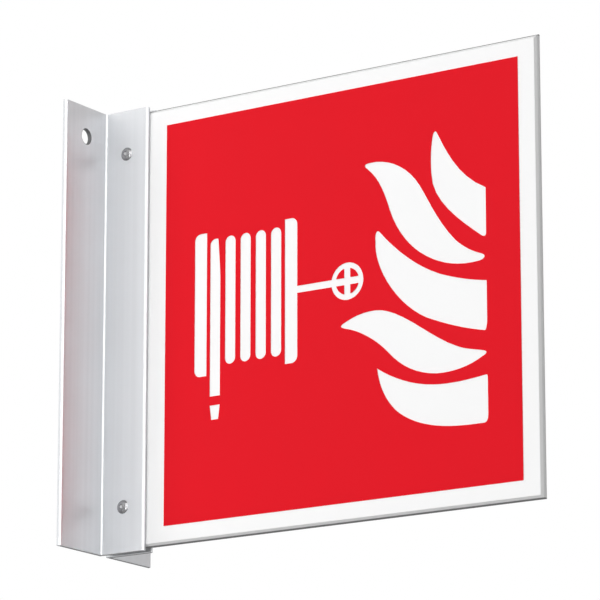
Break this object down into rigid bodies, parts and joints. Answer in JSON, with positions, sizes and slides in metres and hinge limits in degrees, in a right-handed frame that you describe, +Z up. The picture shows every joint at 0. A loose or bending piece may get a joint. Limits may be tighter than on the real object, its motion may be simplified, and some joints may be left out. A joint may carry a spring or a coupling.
{
  "type": "projecting fire hose reel sign",
  "caption": "Double-sided projecting sign: bevelled white panel with a fire hose reel symbol on each face, riveted between aluminium angles whose flanges screw to a wall.",
  "frame": {"origin": "on the wall, at the centre of the circle through both wall holes, on the panel's middle plane and half way up", "axes": "+X out of the wall along the panel, +Z up, -Y towards the near face, whose wall hole is at the top"},
  "size_m": [0.227, 0.068, 0.203],
  "materials": {
    "angle": "satin anodised",
    "panel": "white, semi-gloss rigid sheet with bevelled edges",
    "print": "signal red film with the symbol left open",
    "rivet": "dull grey domed blind rivet",
    "mandrel": "broken steel mandrel end"
  },
  "bodies": {
    "root": {"near_angle": "angle", "far_angle": "angle", "sign_panel": "panel", "near_print": "print", "far_print": "print", "upper_rivet": "rivet", "lower_rivet": "rivet", "upper_mandrel": "mandrel", "lower_mandrel": "mandrel"}
  },
  "joints": []
}
